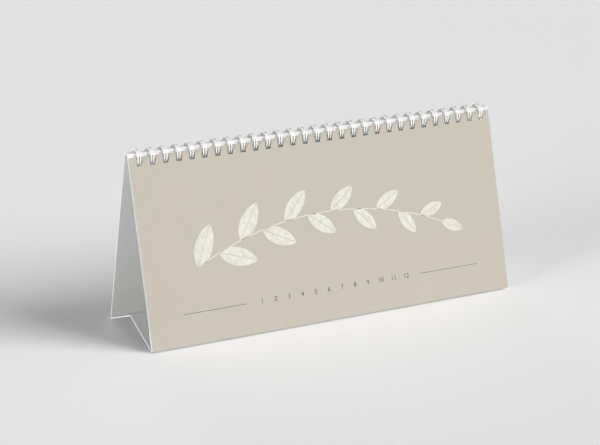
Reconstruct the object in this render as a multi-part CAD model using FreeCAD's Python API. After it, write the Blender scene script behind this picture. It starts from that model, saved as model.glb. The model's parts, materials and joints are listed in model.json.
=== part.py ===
"""Tent-shaped desk calendar: a folded board easel, a twin-loop wire along its ridge, and the leaves on it.

Millimetres. X runs along the calendar, Y to its back and Z up. The origin is on the surface that the
calendar stands on, under the middle of its outline.
"""

import FreeCAD
import Part
import math
import os

# Easel: one sheet of board, folded into a closed tent with a roof-shaped base.
board_length = 250.0
board_thickness = 0.9
ridge_width = 4.54
ridge_height = 114.8
base_depth = 67.3  # across the feet, where the outer faces meet the surface below
base_slope = 21.3  # degrees, of the two base flaps that meet in the middle crease
glue_tab_length = 12.0  # up the inside of the front panel
fold_radius = 1.0  # outside a fold
fold_inner_radius = 0.1
foot_flat_depth = 0.1  # how much of each foot's round is pressed flat

# Binding: 3:1 pitch, three loops to the inch.
loop_count = 29
loop_pitch = 25.4 / 3
ring_radius = 5.0  # to the middle of the wire, at the corners between its chords
ring_drop = 3.3  # from the ridge's top down to the rings' centre
wire_radius = 0.47
wire_sides = 6
strand_spacing = 1.5
chord_count = 12  # straight chords in each strand
chord_angle = 27.0
spine_angle = 10.0  # from a strand's last chord round to the spine
loop_tip_angle = 8.5
spine_corner = 0.8
tip_half_width = 0.35

# Leaves: twelve months as one block, and the cover in front of it.
leaf_length = 248.8
leaf_height = 116.4
block_thickness = 0.8
cover_thickness = 0.25
cover_gap = 0.14
block_top = 2.3  # below the ridge, down the slope
cover_top = 1.8
hole_size = 4.0
board_hole_top = 4.3
hole_inset = 1.5  # from a leaf's top edge to its holes

half_angle = math.degrees(math.atan((base_depth - ridge_width) / 2 / ridge_height))


def point(y, z):
    return FreeCAD.Vector(0, y, z)


def unit(vector):
    return vector * (1 / vector.Length)


def inward(along):
    """Unit normal on the right of a direction in the YZ plane."""
    return unit(point(along.z, -along.y))


def meet(p, u, q, v):
    """Where the line through p along u crosses the line through q along v."""
    cross = u.y * v.z - u.z * v.y
    reach = ((q.y - p.y) * v.z - (q.z - p.z) * v.y) / cross
    return p + u * reach


def inset(corners, depth):
    """Corners of a clockwise outline moved in by the same depth all round."""
    moved = []
    for index, corner in enumerate(corners):
        before = corner - corners[index - 1]
        after = corners[(index + 1) % len(corners)] - corner
        on_before = corner + inward(before) * depth
        on_after = corner + inward(after) * depth
        moved.append(meet(on_before, before, on_after, after))
    return moved


def rounded_outline(corners, radii):
    """Closed wire through the corners, each rounded by a tangent arc of its own radius."""
    stops = []
    for index, (corner, radius) in enumerate(zip(corners, radii)):
        back = unit(corners[index - 1] - corner)
        ahead = unit(corners[(index + 1) % len(corners)] - corner)
        half = back.getAngle(ahead) / 2
        run = radius / math.tan(half)
        bisector = unit(back + ahead)
        crown = corner + bisector * (radius / math.sin(half) - radius)
        stops.append((corner + back * run, crown, corner + ahead * run))
    edges = []
    for index, (start, crown, end) in enumerate(stops):
        if radii[index]:
            edges.append(Part.Arc(start, crown, end).toShape())
        following = stops[(index + 1) % len(stops)][0]
        edges.append(Part.LineSegment(end, following).toShape())
    return Part.Wire(edges)


def foot_drop():
    """How far a foot's sharp corner lies below the surface that its rounded fold stands on."""
    panel_slope = 90.0 - half_angle
    half = math.radians((panel_slope - base_slope) / 2)
    rise = math.sin(math.radians((panel_slope + base_slope) / 2))
    return fold_radius / math.sin(half) * rise - fold_radius + foot_flat_depth


def easel_outlines():
    """Outer and inner outline of the folded board, both clockwise from the front foot."""
    drop = foot_drop()
    half_foot = base_depth / 2 + drop * math.tan(math.radians(half_angle))
    front_foot = point(-half_foot, -drop)
    ridge_front = point(-ridge_width / 2, ridge_height)
    ridge_back = point(ridge_width / 2, ridge_height)
    rear_foot = point(half_foot, -drop)
    flap_rise = math.tan(math.radians(base_slope))
    front_flap = unit(point(1, flap_rise))
    rear_flap = unit(point(-1, flap_rise))
    base_crease = meet(front_foot, front_flap, rear_foot, rear_flap)
    outer_corners = [front_foot, ridge_front, ridge_back, rear_foot, base_crease]
    outer_radii = [fold_radius] * 4 + [fold_inner_radius]

    inner_foot, *inner_others = inset(outer_corners, board_thickness)
    panel_up = unit(ridge_front - front_foot)
    tab_lift = inward(panel_up) * board_thickness
    tab_root = meet(inner_foot + tab_lift, panel_up, inner_foot, front_flap)
    tab_end = inner_foot + panel_up * glue_tab_length
    inner_corners = [tab_root, tab_end + tab_lift, tab_end] + inner_others
    inner_radii = [fold_inner_radius, 0, 0] + [fold_inner_radius] * 3 + [fold_radius]
    return rounded_outline(outer_corners, outer_radii), rounded_outline(inner_corners, inner_radii)


def loop_places():
    first = -(loop_count - 1) / 2 * loop_pitch
    return [first + index * loop_pitch for index in range(loop_count)]


def slab(length, bottom, top, near, far):
    """Box lying on the front panel: down the slope from top to bottom, out of it from near to far."""
    box = Part.makeBox(length, bottom - top, far - near)
    box.translate(FreeCAD.Vector(-length / 2, -bottom, near))
    return box


def hole_cutters(top, near, far):
    """The row of square holes, as boxes that pass through a sheet lying on the front panel."""
    cutters = []
    for x in loop_places():
        cutter = slab(hole_size, top + hole_size, top, near, far)
        cutter.translate(FreeCAD.Vector(x, 0, 0))
        cutters.append(cutter)
    return Part.makeCompound(cutters)


def on_front_panel(shape):
    """Stands a shape drawn flat up against the easel's front face, with its top at the ridge."""
    placed = shape.copy()
    placed.rotate(FreeCAD.Vector(0, 0, 0), FreeCAD.Vector(1, 0, 0), 90.0 - half_angle)
    placed.translate(point(-ridge_width / 2, ridge_height))
    return placed


def easel_board():
    outer, inner = easel_outlines()
    section = Part.Face(outer).cut(Part.Face(inner))
    sheet = section.extrude(FreeCAD.Vector(board_length, 0, 0))
    sheet.translate(FreeCAD.Vector(-board_length / 2, 0, 0))
    front_holes = on_front_panel(hole_cutters(board_hole_top, -2 * board_thickness, board_thickness))
    back_holes = front_holes.copy()
    back_holes.rotate(FreeCAD.Vector(0, 0, 0), FreeCAD.Vector(0, 0, 1), 180)
    sheet = sheet.cut([front_holes, back_holes])
    below = Part.makeBox(2 * board_length, 2 * base_depth, ridge_height)
    below.translate(FreeCAD.Vector(-board_length, -base_depth, -ridge_height))
    return sheet.cut(below)


def leaf(top, near, far):
    """A punched sheet or block of sheets on the front panel."""
    sheet = slab(leaf_length, top + leaf_height, top, near, far)
    thickness = far - near
    holes = hole_cutters(top + hole_inset, near - thickness, far + thickness)
    return on_front_panel(sheet.cut(holes))


def page_block():
    return leaf(block_top, 0, block_thickness)


def cover_leaf():
    near = block_thickness + cover_gap
    return leaf(cover_top, near, near + cover_thickness)


def on_ring(x, angle):
    """Point of the wire's middle line, at an angle in degrees from the back over the top to the front."""
    turn = math.radians(angle)
    centre = ridge_height - ring_drop
    return FreeCAD.Vector(x, ring_radius * math.cos(turn), centre + ring_radius * math.sin(turn))


def binding_path():
    """The wire's middle line: up over the ridge, a tight turn at the loop's tip, back, and on to the next."""
    first_angle = 90 - chord_angle * chord_count / 2
    last_angle = 90 + chord_angle * chord_count / 2
    spine = first_angle - spine_angle
    angles = [first_angle + chord_angle * index for index in range(chord_count + 1)]
    path = []
    for x in loop_places():
        left = x - strand_spacing / 2
        right = x + strand_spacing / 2
        path.append(on_ring(left - spine_corner, spine))
        path.extend(on_ring(left, angle) for angle in angles)
        path.append(on_ring(x - tip_half_width, last_angle + loop_tip_angle))
        path.append(on_ring(x + tip_half_width, last_angle + loop_tip_angle))
        path.extend(on_ring(right, angle) for angle in reversed(angles))
        path.append(on_ring(right + spine_corner, spine))
    return path


def wire_section(start, along):
    """Regular polygon across the wire at its start."""
    side = unit(along.cross(FreeCAD.Vector(0, 0, 1)))
    up = unit(side.cross(along))
    corners = []
    for index in range(wire_sides + 1):
        turn = 2 * math.pi * index / wire_sides
        corners.append(start + (side * math.cos(turn) + up * math.sin(turn)) * wire_radius)
    return Part.makePolygon(corners)


def binding_wire():
    path = binding_path()
    section = wire_section(path[0], path[1] - path[0])
    return Part.makePolygon(path).makePipeShell([section], True, False, 1)


def main():
    parts = {
        "easel_board": easel_board(),
        "binding_wire": binding_wire(),
        "page_block": page_block(),
        "cover_leaf": cover_leaf(),
    }
    outline = Part.makeCompound(list(parts.values())).BoundBox
    shift = -(outline.YMin + outline.YMax) / 2
    os.makedirs("parts", exist_ok=True)
    for name, shape in parts.items():
        shape.translate(FreeCAD.Vector(0, shift, 0))
        shape.exportStep(os.path.join("parts", name + ".step"))
        box = shape.BoundBox
        print(name, shape.isValid(), len(shape.Solids), round(shape.Volume, 1), box)
    print("half angle", round(half_angle, 3), "foot drop", round(foot_drop(), 3), "shift", round(shift, 4))


main()
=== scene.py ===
import json
import math
import random

import bmesh
import bpy
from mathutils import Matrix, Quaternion, Vector


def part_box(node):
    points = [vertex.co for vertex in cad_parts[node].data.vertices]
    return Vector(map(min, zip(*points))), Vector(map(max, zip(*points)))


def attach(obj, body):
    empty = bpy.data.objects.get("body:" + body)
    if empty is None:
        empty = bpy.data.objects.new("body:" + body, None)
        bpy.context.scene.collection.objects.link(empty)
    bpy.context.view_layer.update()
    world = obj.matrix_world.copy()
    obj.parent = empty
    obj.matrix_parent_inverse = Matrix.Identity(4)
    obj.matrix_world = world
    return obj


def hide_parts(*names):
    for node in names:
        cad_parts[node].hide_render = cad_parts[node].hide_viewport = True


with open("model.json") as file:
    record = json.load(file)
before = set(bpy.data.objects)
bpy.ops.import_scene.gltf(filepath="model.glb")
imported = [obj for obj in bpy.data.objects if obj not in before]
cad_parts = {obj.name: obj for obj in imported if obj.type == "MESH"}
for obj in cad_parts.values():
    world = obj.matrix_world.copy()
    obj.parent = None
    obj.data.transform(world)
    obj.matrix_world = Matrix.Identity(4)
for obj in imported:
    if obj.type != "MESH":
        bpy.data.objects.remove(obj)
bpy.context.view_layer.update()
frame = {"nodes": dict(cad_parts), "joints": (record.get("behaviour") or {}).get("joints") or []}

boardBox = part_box("easel_board")
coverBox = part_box("cover_leaf")
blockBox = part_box("page_block")
ringCentre = Vector(frame["joints"][0]["pos_m"])
coverFace = max(frame["nodes"]["cover_leaf"].data.polygons, key=lambda face: face.area)
panelTilt = math.asin(abs(coverFace.normal.z))  # how far the panels lean from upright
upSlope = Vector((0, math.sin(panelTilt), math.cos(panelTilt)))
outward = Vector((0, -math.cos(panelTilt), math.sin(panelTilt)))
alongX = Vector((1, 0, 0))

punching = {
    "loops": 29,
    "pitch": 0.0254 / 3,
    "hole": 0.004,
    "corner": 0.0005,  # rounding of a hole's corners
    "leafDrop": 0.0005,  # the top of a leaf's box to its top edge, down the slope
    "leafMargin": 0.0016,  # a leaf's top edge to its holes
    "boardMargin": 0.0043,  # the ridge to the board's holes, down the slope
}


class Signal:
    def __init__(self, finish, socket):
        self.finish = finish
        self.socket = socket

    def maths(self, operation, first, second):
        return self.finish.node("ShaderNodeMath", {"operation": operation}, {0: first, 1: second})

    def __add__(self, other):
        return self.maths("ADD", self, other)

    def __radd__(self, other):
        return self.maths("ADD", other, self)

    def __mul__(self, other):
        return self.maths("MULTIPLY", self, other)

    def __rmul__(self, other):
        return self.maths("MULTIPLY", other, self)


class Finish:
    def __init__(self, name, **constants):
        self.material = bpy.data.materials.new(name)
        self.material.use_nodes = True
        self.tree = self.material.node_tree
        self.shader = self.tree.nodes["Principled BSDF"]
        self.place = self.node("ShaderNodeTexCoord", output="Object")
        for socket, value in constants.items():
            self.shader.inputs[socket.replace("_", " ")].default_value = value

    def node(self, kind, settings=None, values=None, output=0):
        made = self.tree.nodes.new(kind)
        for key, value in (settings or {}).items():
            if key == "stops":
                made.color_ramp.elements[0].position, made.color_ramp.elements[1].position = value
            else:
                setattr(made, key, value)
        for key, value in (values or {}).items():
            self.feed(made.inputs[key], value)
        return Signal(self, made.outputs[output])

    def feed(self, socket, value):
        if isinstance(value, Signal):
            self.tree.links.new(value.socket, socket)
        else:
            socket.default_value = value

    def noise(self, scale, detail):
        values = {"Vector": self.place, "Scale": scale, "Detail": detail}
        return self.node("ShaderNodeTexNoise", values=values)

    def ramp(self, signal, low, high):
        return self.node("ShaderNodeValToRGB", {"stops": (low, high)}, {0: signal})

    def tint(self, amount, first, second):
        return self.node("ShaderNodeMix", {"data_type": "RGBA"}, {0: amount, 6: first, 7: second}, output=2)

    def wear(self, colour, roughness=None, height=None, depth=0):
        self.feed(self.shader.inputs["Base Color"], colour)
        if roughness is not None:
            self.feed(self.shader.inputs["Roughness"], roughness)
        if height is not None:
            bump = self.node("ShaderNodeBump", values={"Height": height, "Distance": depth})
            self.feed(self.shader.inputs["Normal"], bump)
        return self.material


def boardFinish():
    finish = Finish("white_board", IOR=1.45)
    cloud = finish.noise(14, 3)
    fibre = finish.noise(2600, 3)
    pulp = finish.noise(700, 4)
    colour = finish.tint(cloud, (0.885, 0.885, 0.878, 1), (0.915, 0.914, 0.906, 1))
    return finish.wear(colour, 0.62 + 0.12 * pulp, fibre + pulp * 0.8, 0.000012)


def paperFinish():
    finish = Finish("leaf_paper", IOR=1.45)
    fibre = finish.noise(3200, 3)
    cloud = finish.noise(30, 3)
    colour = finish.tint(cloud, (0.8, 0.795, 0.78, 1), (0.84, 0.835, 0.82, 1))
    return finish.wear(colour, 0.7 + 0.1 * fibre, fibre, 0.000008)


def coverFinish():
    finish = Finish("beige_print", IOR=1.45)
    grain = finish.noise(4200, 2)
    cloud = finish.noise(22, 4)
    colour = finish.tint(cloud, (0.506, 0.465, 0.395, 1), (0.526, 0.482, 0.411, 1))
    return finish.wear(colour, 0.52 + 0.12 * grain, grain, 0.000006)


def creamFinish():
    finish = Finish("cream_print", IOR=1.45)
    blotches = finish.ramp(finish.noise(330, 7), 0.38, 0.66)
    specks = finish.ramp(finish.noise(1500, 5), 0.5, 0.72)
    mottle = blotches * 0.7 + specks * 0.3
    colour = finish.tint(mottle, (0.77, 0.745, 0.68, 1), (0.63, 0.59, 0.51, 1))
    return finish.wear(colour, 0.55 + 0.1 * mottle)


def darkFinish():
    finish = Finish("dark_print", IOR=1.45)
    flecks = finish.noise(5200, 3)
    colour = finish.tint(flecks, (0.055, 0.048, 0.04, 1), (0.1, 0.088, 0.072, 1))
    return finish.wear(colour, 0.5 + 0.15 * flecks)


def wireFinish():
    finish = Finish("white_wire", IOR=1.5)
    cloud = finish.noise(180, 3)
    peel = finish.noise(2400, 2)
    colour = finish.tint(cloud, (0.86, 0.86, 0.852, 1), (0.9, 0.9, 0.892, 1))
    return finish.wear(colour, 0.28 + 0.14 * cloud, peel, 0.000004)


def choose(piece):
    bpy.ops.object.select_all(action="DESELECT")
    piece.select_set(True)
    bpy.context.view_layer.objects.active = piece


def edit(piece):
    choose(piece)
    bpy.ops.object.mode_set(mode="EDIT")


def leaveEdit():
    bpy.ops.object.mode_set(mode="OBJECT")


def pick(kind, test):
    # selects the faces, edges or vertices of the piece being edited that pass the test
    bpy.ops.mesh.select_mode(type={"faces": "FACE", "edges": "EDGE", "verts": "VERT"}[kind])
    bpy.ops.mesh.select_all(action="DESELECT")
    cage = bmesh.from_edit_mesh(bpy.context.edit_object.data)
    for item in getattr(cage, kind):
        item.select_set(test(item))
    cage.select_flush_mode()
    bmesh.update_edit_mesh(bpy.context.edit_object.data)


def middle(item):
    return sum((corner.co for corner in item.verts), Vector()) / len(item.verts)


def addModifier(piece, kind, **settings):
    modifier = piece.modifiers.new(kind.title(), kind)
    for key, value in settings.items():
        setattr(modifier, key, value)
    choose(piece)
    bpy.ops.object.modifier_apply(modifier=modifier.name)


def settle(piece):
    choose(piece)
    bpy.ops.object.transform_apply(location=True, rotation=True, scale=True)


def copyOf(piece, name):
    choose(piece)
    bpy.ops.object.duplicate()
    double = bpy.context.object
    double.name = name
    return double


def joined(name, members):
    bpy.ops.object.select_all(action="DESELECT")
    for member in members:
        member.select_set(True)
    bpy.context.view_layer.objects.active = members[0]
    bpy.ops.object.join()
    members[0].name = name
    members[0].data.name = name
    return members[0]


def standOnPanel(piece, seat):
    # turns a piece drawn flat, with its bottom edge at y = 0, up against the front panel
    piece.rotation_euler = (math.radians(90) - panelTilt, 0, 0)
    piece.location = seat
    settle(piece)


def slabSeat(box, thickness):
    # inner bottom corner of a slab on the front panel, and the height of the leaf hung in it
    seat = Vector((0, box[0].y + thickness * math.cos(panelTilt), box[0].z))
    height = (box[1].z - box[0].z - thickness * math.sin(panelTilt)) / math.cos(panelTilt)
    return seat, height - punching["leafDrop"]


def holeRow(centre, depth):
    # solid plugs with rounded corners, one for each punched hole
    size = punching["hole"]
    bpy.ops.mesh.primitive_cube_add(size=size, location=(0, centre, 0))
    row = bpy.context.object
    row.scale.z = depth / size
    settle(row)
    edit(row)
    pick("edges", lambda edge: abs(edge.verts[0].co.z - edge.verts[1].co.z) > depth / 2)
    bpy.ops.mesh.bevel(offset=punching["corner"], segments=3)
    leaveEdit()
    addModifier(row, "ARRAY", count=punching["loops"], use_relative_offset=False,
                use_constant_offset=True, constant_offset_displace=(punching["pitch"], 0, 0))
    row.location.x = -punching["pitch"] * (punching["loops"] - 1) / 2
    settle(row)
    return row


def punch(sheet, row):
    addModifier(sheet, "BOOLEAN", operation="DIFFERENCE", solver="EXACT", object=row)
    bpy.data.objects.remove(row)


def flatLeaf(name, width, height, thickness):
    bpy.ops.mesh.primitive_plane_add(size=1, location=(0, height / 2, 0))
    sheet = bpy.context.object
    sheet.name = name
    sheet.scale = (width, height, 1)
    settle(sheet)
    addModifier(sheet, "SOLIDIFY", thickness=thickness, offset=1)
    margin = punching["leafMargin"] + punching["hole"] / 2
    punch(sheet, holeRow(height - margin, 10 * thickness))
    return sheet


board = {
    "thickness": 0.0009,
    "ridge": 0.00454,
    "ridgeFold": 0.001,  # outside radius
    "footFold": 0.00115,
    "creaseFold": 0.00012,
    "baseSlope": math.radians(21.3),
    "tab": 0.0115,  # glued up the inside of the front panel
    "glue": 0.00003,
    "foldSteps": 8,
    "clearance": 0.0009,  # the front panel's bottom edge, above the folds that stand on the floor
    "pressedEdge": 0.0003,  # rounding of that edge
    "edgeRound": 0.00007,
}


def foldOn(turn, radius, tip, heading):
    # spins the open edge about a fold, positive from the front over the top; gives the new tip
    side = Vector((0, heading.z, -heading.y)) * math.copysign(1, turn)
    centre = tip + side * radius
    bpy.ops.mesh.spin(steps=board["foldSteps"], angle=turn, center=centre, axis=alongX)
    heading = Quaternion(alongX, -turn) @ heading
    newSide = Vector((0, heading.z, -heading.y)) * math.copysign(1, turn)
    return centre - newSide * radius, heading


def panelOn(length, tip, heading):
    bpy.ops.mesh.extrude_region_move(TRANSFORM_OT_translate={"value": heading * length})
    return tip + heading * length


def footPlace(depth):
    # where a foot's fold starts on a panel, for an outer skin that far inside the front panel's face
    radius = board["footFold"]
    down = (boardBox[1].z - radius - (depth + radius) * math.sin(panelTilt)) / math.cos(panelTilt)
    return down, down * math.sin(panelTilt) - depth * math.cos(panelTilt)


def easelBoard():
    thick = board["thickness"]
    ridgeRadius = board["ridgeFold"]
    footRadius = board["footFold"]
    slope = board["baseSlope"]
    top = boardBox[1].z
    ridgeTurn = math.radians(90) - panelTilt
    footTurn = math.pi - (ridgeTurn - slope)
    # distances down the slope from the ridge's sharp corner
    ridgeCut = ridgeRadius * math.tan(ridgeTurn / 2)
    frontEnd = (top - board["clearance"] - thick * math.sin(panelTilt)) / math.cos(panelTilt)
    rearEnd, rearSpread = footPlace(0)
    tabSpread = footPlace(thick + board["glue"])[1]
    ridgeFront = Vector((0, ringCentre.y - board["ridge"] / 2, top))
    upper = ridgeFront - upSlope * ridgeCut
    lower = ridgeFront - upSlope * frontEnd

    bpy.ops.mesh.primitive_plane_add(size=1, rotation=(math.radians(90) - panelTilt, 0, 0))
    sheet = bpy.context.object
    sheet.name = "folded_easel"
    sheet.scale = (boardBox[1].x - boardBox[0].x, frontEnd - ridgeCut, 1)
    sheet.location = (upper + lower) / 2
    settle(sheet)
    edit(sheet)

    # over the ridge, down the back, along both base flaps and up inside the front panel
    pick("verts", lambda corner: corner.co.z > top / 2)
    tip, heading = foldOn(ridgeTurn, ridgeRadius, upper, upSlope)
    tip = panelOn(board["ridge"] - 2 * ridgeCut, tip, heading)
    tip, heading = foldOn(ridgeTurn, ridgeRadius, tip, heading)
    tip = panelOn(rearEnd - ridgeCut, tip, heading)
    tip, heading = foldOn(footTurn, footRadius, tip, heading)
    footSpan = footRadius * (math.cos(panelTilt) + math.sin(slope))  # a foot's fold, from front to back
    span = board["ridge"] + rearSpread + tabSpread - 2 * footSpan
    flap = span / 2 / math.cos(slope) - board["creaseFold"] * math.tan(slope)
    tip = panelOn(flap, tip, heading)
    tip, heading = foldOn(-2 * slope, board["creaseFold"], tip, heading)
    tip = panelOn(flap, tip, heading)
    tip, heading = foldOn(footTurn, footRadius, tip, heading)
    panelOn(board["tab"], tip, heading)
    bpy.ops.mesh.select_all(action="SELECT")
    bpy.ops.mesh.remove_doubles(threshold=0.000001)
    leaveEdit()

    addModifier(sheet, "SOLIDIFY", thickness=thick, offset=-1, use_even_offset=True)
    edit(sheet)
    pick("edges", lambda edge: (middle(edge) - lower).length < thick / 4)
    bpy.ops.mesh.bevel(offset=board["pressedEdge"], segments=5)
    leaveEdit()
    down = punching["boardMargin"] + punching["hole"] / 2
    for side in ("front", "back"):
        row = holeRow(0, 4 * thick)
        row.rotation_euler = (math.radians(90) - panelTilt, 0, 0)
        row.location = ridgeFront - upSlope * down
        settle(row)
        if side == "back":
            row.rotation_euler.z = math.pi
            row.location.y = 2 * ringCentre.y
            settle(row)
        punch(sheet, row)
    addModifier(sheet, "BEVEL", width=board["edgeRound"], segments=2, limit_method="ANGLE",
                angle_limit=math.radians(60))
    choose(sheet)
    bpy.ops.object.shade_smooth_by_angle(angle=math.radians(20))
    sheet.data.materials.append(boardFinish())
    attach(sheet, "stand")
    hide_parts("easel_board")
    print("easel folded and punched")


cover = {"thickness": 0.00025}

months = {
    "count": 12,
    "leafThickness": 0.00003,
    "blockThickness": 0.0008,  # at the loops
    "footThickness": 0.0004,  # at the bottom edge, where the leaves close up against the board
    "trim": 0.0007,  # off their bottom edges, so that the cover's hangs lower
    "spread": 0.00012,  # how unevenly they lie
    "seed": 12,
}


def monthLeaves():
    rng = random.Random(months["seed"])
    seat, height = slabSeat(blockBox, months["blockThickness"])
    width = blockBox[1].x - blockBox[0].x
    room = months["blockThickness"] / months["count"]
    closing = (months["blockThickness"] - months["footThickness"]) / months["count"]
    spread = months["spread"]
    lowest = months["trim"] + spread
    # hung on the loops, the leaves step up the slope towards the cover
    step = (slabSeat(coverBox, cover["thickness"])[0] - seat).dot(upSlope) / months["count"]
    first = flatLeaf("month_leaf", width - 2 * spread, height - spread - lowest, months["leafThickness"])
    leaves = [first]
    for index in range(1, months["count"]):
        leaf = copyOf(first, "month_leaf_" + str(index))
        rise = lowest + rng.uniform(-spread, spread) + index * step
        leaf.location = (rng.uniform(-spread, spread), rise, index * (room - closing))
        leaf.rotation_euler.x = index * closing / height
        leaves.append(leaf)
    first.location.y = lowest
    for leaf in leaves:
        settle(leaf)
    stack = joined("month_leaves", leaves)
    standOnPanel(stack, seat)
    stack.data.materials.append(paperFinish())
    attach(stack, "stand")
    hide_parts("page_block")
    print("month leaves stacked, each", round(step * 1000, 3), "mm above the last")


def coverLeaf():
    seat, height = slabSeat(coverBox, cover["thickness"])
    sheet = flatLeaf("cover_sheet", coverBox[1].x - coverBox[0].x, height, cover["thickness"])
    sheet.data.materials.append(paperFinish())
    sheet.data.materials.append(coverFinish())
    edit(sheet)
    pick("faces", lambda face: face.normal.z > 0.9)
    sheet.active_material_index = 1
    bpy.ops.object.material_slot_assign()
    leaveEdit()
    standOnPanel(sheet, seat)
    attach(sheet, "cover")
    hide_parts("cover_leaf")
    print("cover leaf cut")


artwork = {
    "ink": 0.000015,
    "inkSunk": 0.000005,  # how deep the print sits in the paper
    "stemCentre": (0, -0.13),
    "stemRadius": 0.197,
    "stemWidth": 0.0006,
    "stemReach": math.radians(27),  # each way from the middle
    "stemSteps": 48,
    "leaves": 12,
    "leafLength": 0.027,
    "leafWidth": 0.0062,  # of each half
    "leafShrink": 0.4,  # how much smaller the last leaf is
    "leafRun": 1.9,  # from the first leaf to the last, in reaches of the stem
    "leafSteps": 14,
    "lean": math.radians(40),
    "rib": 0.00018,
    "numeralSize": 0.0042,
    "numeralPitch": 0.0092,
    "numeralSteps": 6,
    "rowHeight": 0.019,
    "lineLength": 0.042,
    "lineWidth": 0.00028,
    "lineGap": 0.0105,
}


def inked(name, members):
    piece = joined(name, members)
    addModifier(piece, "SOLIDIFY", thickness=artwork["ink"], offset=1)
    return piece


def printedLeaf(length, width):
    # one half of a leaf, straight along the rib and bowed outside, and its mirror image
    bpy.ops.curve.primitive_bezier_curve_add(location=(0, 0, 0))
    outline = bpy.context.object
    outline.data.dimensions = "2D"
    outline.data.fill_mode = "BOTH"
    outline.data.resolution_u = artwork["leafSteps"]
    spline = outline.data.splines[0]
    spline.use_cyclic_u = True
    base, tip = spline.bezier_points
    for spot in (base, tip):
        spot.handle_left_type = spot.handle_right_type = "FREE"
    base.co, tip.co = (0, 0, 0), (length, 0, 0)
    base.handle_left, tip.handle_right = (length * 0.3, 0, 0), (length * 0.7, 0, 0)
    base.handle_right = (length * 0.12, width * 0.95, 0)
    tip.handle_left = (length * 0.66, width * 1.45, 0)
    choose(outline)
    bpy.ops.object.convert(target="MESH")
    outline = bpy.context.object
    edit(outline)
    bpy.ops.mesh.select_all(action="SELECT")
    bpy.ops.transform.translate(value=(0, artwork["rib"], 0))
    leaveEdit()
    addModifier(outline, "MIRROR", use_axis=(False, True, False), use_mirror_merge=False)
    return outline


def twig():
    reach = artwork["stemReach"]
    radius = artwork["stemRadius"]
    centre = Vector((*artwork["stemCentre"], 0))
    members = []
    bpy.ops.mesh.primitive_plane_add(size=artwork["stemWidth"], location=centre + Vector((0, radius, 0)))
    stem = bpy.context.object
    settle(stem)
    edit(stem)
    half = artwork["stemWidth"] / 2
    for way in (1, -1):
        pick("verts", lambda corner: corner.co.x * way > half * 0.9)
        bpy.ops.mesh.spin(steps=artwork["stemSteps"], angle=reach, center=centre, axis=(0, 0, way))
    leaveEdit()
    members.append(stem)
    total = artwork["leaves"]
    for index in range(total):
        share = index / (total - 1)
        size = 1 - artwork["leafShrink"] * share
        along = reach * (1 - artwork["leafRun"] * share)
        side = 1 if index % 2 == 0 else -1
        leaf = printedLeaf(artwork["leafLength"] * size, artwork["leafWidth"] * size)
        root = centre + Vector((-math.sin(along), math.cos(along), 0)) * radius
        lean = 0 if index == total - 1 else side * artwork["lean"]
        leaf.rotation_euler.z = along + lean
        leaf.location = root
        settle(leaf)
        members.append(leaf)
    return inked("cream_twig", members)


def monthRow():
    members = []
    halfway = (months["count"] + 1) / 2
    for month in range(1, months["count"] + 1):
        across = (month - halfway) * artwork["numeralPitch"]
        bpy.ops.object.text_add(location=(across, artwork["rowHeight"], 0))
        numeral = bpy.context.object
        numeral.data.body = str(month)
        numeral.data.size = artwork["numeralSize"]
        numeral.data.align_x = "CENTER"
        numeral.data.align_y = "CENTER"
        numeral.data.resolution_u = artwork["numeralSteps"]
        choose(numeral)
        bpy.ops.object.convert(target="MESH")
        numeral = bpy.context.object
        settle(numeral)
        members.append(numeral)
    reach = (halfway - 1) * artwork["numeralPitch"] + artwork["lineGap"] + artwork["lineLength"] / 2
    for side in (-1, 1):
        bpy.ops.mesh.primitive_plane_add(size=1, location=(side * reach, artwork["rowHeight"], 0))
        line = bpy.context.object
        line.scale = (artwork["lineLength"], artwork["lineWidth"], 1)
        settle(line)
        members.append(line)
    return inked("dark_month_row", members)


def printCover():
    seat = slabSeat(coverBox, cover["thickness"])[0]
    face = seat + outward * (cover["thickness"] - artwork["inkSunk"])
    for piece, finish in ((twig(), creamFinish()), (monthRow(), darkFinish())):
        standOnPanel(piece, face)
        piece.data.materials.append(finish)
        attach(piece, "cover")
    print("cover printed")


wire = {
    "radius": 0.00045,
    "ring": 0.00493,  # of the closed loops, to the wire's middle
    "strandGap": 0.0015,
    "corner": 0.0009,
    "start": math.radians(-72),  # where a loop leaves the spine, from straight back and up
    "sweep": math.radians(324),  # over the top to the loop's tip
    "sides": 12,
    "ringSteps": 44,
    "tipSteps": 10,
    "cornerSteps": 6,
}


def ringPoint(x, angle):
    reach = wire["ring"]
    return Vector((x, ringCentre.y + reach * math.cos(angle), ringCentre.z + reach * math.sin(angle)))


def bendWire(turn, centre, axis, steps):
    # the spin operator turns left-handed, so the axis is reversed
    bpy.ops.mesh.spin(steps=steps, angle=turn, center=centre, axis=-axis)


def runWire(length):
    bpy.ops.mesh.extrude_region_move(TRANSFORM_OT_translate={"value": alongX * length})


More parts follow.
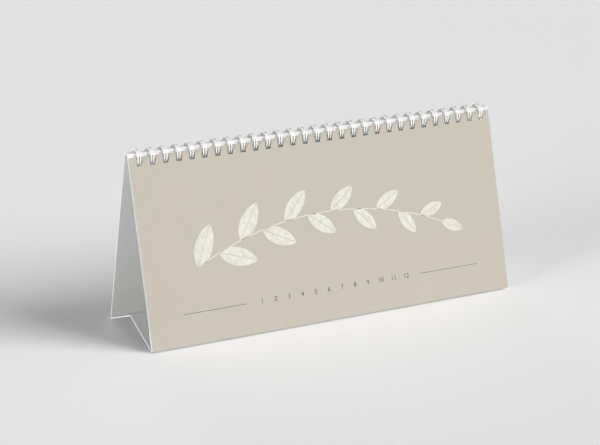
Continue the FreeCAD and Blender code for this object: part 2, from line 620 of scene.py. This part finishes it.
def bindingWire():
    half = wire["strandGap"] / 2
    corner = wire["corner"]
    start = wire["start"]
    end = start + wire["sweep"]
    outwards = Vector((0, math.cos(start), math.sin(start)))
    onwards = Vector((0, -math.sin(start), math.cos(start)))
    spine = ringPoint(0, start) - onwards * corner
    pitch = punching["pitch"]
    run = pitch / 2 - half - corner
    quarter = math.radians(90)
    bpy.ops.mesh.primitive_circle_add(vertices=wire["sides"], radius=wire["radius"],
                                      location=spine - alongX * pitch / 2, rotation=(0, quarter, 0))
    loops = bpy.context.object
    loops.name = "twin_loops"
    settle(loops)
    edit(loops)
    bpy.ops.mesh.select_all(action="SELECT")
    runWire(run)
    bendWire(quarter, ringPoint(-half - corner, start), -outwards, wire["cornerSteps"])
    bendWire(wire["sweep"], ringCentre, alongX, wire["ringSteps"])
    tipAxis = Vector((0, math.cos(end), math.sin(end)))
    bendWire(math.pi, ringPoint(0, end), tipAxis, wire["tipSteps"])
    bendWire(wire["sweep"], ringCentre, -alongX, wire["ringSteps"])
    bendWire(quarter, ringPoint(half + corner, start), -outwards, wire["cornerSteps"])
    runWire(run)
    leaveEdit()
    addModifier(loops, "ARRAY", count=punching["loops"], use_relative_offset=False,
                use_constant_offset=True, constant_offset_displace=(pitch, 0, 0),
                use_merge_vertices=True, merge_threshold=0.00001)
    loops.location.x = -pitch * (punching["loops"] - 1) / 2
    settle(loops)
    edit(loops)
    reach = pitch * (punching["loops"] - 1) / 2 + half + corner
    for way in (-1, 1):
        bpy.ops.mesh.select_all(action="SELECT")
        bpy.ops.mesh.bisect(plane_co=alongX * reach * way, plane_no=alongX * way, use_fill=True,
                            clear_outer=True)
    bpy.ops.mesh.select_all(action="SELECT")
    bpy.ops.mesh.normals_make_consistent(inside=False)
    leaveEdit()
    choose(loops)
    bpy.ops.object.shade_smooth_by_angle(angle=math.radians(50))
    loops.data.materials.append(wireFinish())
    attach(loops, "stand")
    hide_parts("binding_wire")
    print("wire bent")


studio = {
    "floorSize": 12.0,
    "floorColour": (0.985, 0.985, 0.9899, 1),
    "floorCloud": (0.9, 0.9, 0.905, 1),
    "floorGlow": 0.06,  # paleness added where the camera sees the floor
    "floorBounce": (0.88, 0.88, 0.88, 1),  # of the floor where only other surfaces see it
    "skyColour": (1.0, 1.0, 1.0, 1),
    "skyStrength": 0.035,
    # bearings in degrees from straight in front towards the right, heights above the floor
    "key": {"bearing": 47, "height": 31, "spread": 40, "strength": 0.88},
    "fill": {"bearing": -74, "height": 4, "spread": 24, "strength": 0.98},
    "top": {"bearing": 0, "height": 88, "spread": 110, "strength": 0.115},
    "back": {"bearing": 172, "height": 6, "spread": 20, "strength": 0.2},
    "cameraPlace": (-0.5318, -1.0154, 0.4228),
    "cameraPitch": math.radians(90 - 17.84),
    "cameraYaw": math.radians(-27.2),
    "lens": 115.2,
}


def floorFinish():
    finish = Finish("studio_floor", Roughness=0.9, Emission_Color=studio["floorColour"],
                    Emission_Strength=studio["floorGlow"])
    cloud = finish.noise(3, 2) * 0.05
    finish.wear(finish.tint(cloud, studio["floorColour"], studio["floorCloud"]))
    camera, glossy, through = (finish.node("ShaderNodeLightPath", output="Is " + kind + " Ray")
                               for kind in ("Camera", "Glossy", "Transmission"))
    dull = finish.node("ShaderNodeBsdfDiffuse", values={"Color": studio["floorBounce"]})
    shown = Signal(finish, finish.shader.outputs["BSDF"])
    mixed = finish.node("ShaderNodeMixShader", values={0: camera + glossy + through, 1: dull, 2: shown})
    finish.feed(finish.tree.nodes["Material Output"].inputs["Surface"], mixed)
    return finish.material


def studioFloor():
    bpy.ops.mesh.primitive_plane_add(size=studio["floorSize"])
    floor = bpy.context.object
    floor.name = "studio_floor"
    floor.data.materials.append(floorFinish())


def studioLight():
    world = bpy.data.worlds.new("soft_sky")
    bpy.context.scene.world = world
    world.use_nodes = True
    sky = world.node_tree.nodes["Background"]
    sky.inputs["Color"].default_value = studio["skyColour"]
    sky.inputs["Strength"].default_value = studio["skyStrength"]
    for name in ("key", "fill", "top", "back"):
        lamp = studio[name]
        bearing, height = math.radians(lamp["bearing"]), math.radians(lamp["height"])
        towards = Vector((math.sin(bearing) * math.cos(height), -math.cos(bearing) * math.cos(height),
                          math.sin(height)))
        bpy.ops.object.light_add(type="SUN", location=towards * 3)
        light = bpy.context.object
        light.name = name + "_light"
        light.data.angle = math.radians(lamp["spread"])
        light.data.energy = lamp["strength"] * math.pi
        light.rotation_euler = (-towards).to_track_quat("-Z", "Y").to_euler()
    print("studio lit")


def studioCamera():
    bpy.ops.object.camera_add(location=studio["cameraPlace"])
    camera = bpy.context.object
    camera.rotation_euler = (studio["cameraPitch"], 0, studio["cameraYaw"])
    camera.data.lens = studio["lens"]
    camera.data.sensor_width = 36
    bpy.context.scene.camera = camera
    bpy.context.scene.view_settings.view_transform = "Standard"
    print("camera placed")


easelBoard()
monthLeaves()
coverLeaf()
printCover()
bindingWire()
studioFloor()
studioLight()
studioCamera()
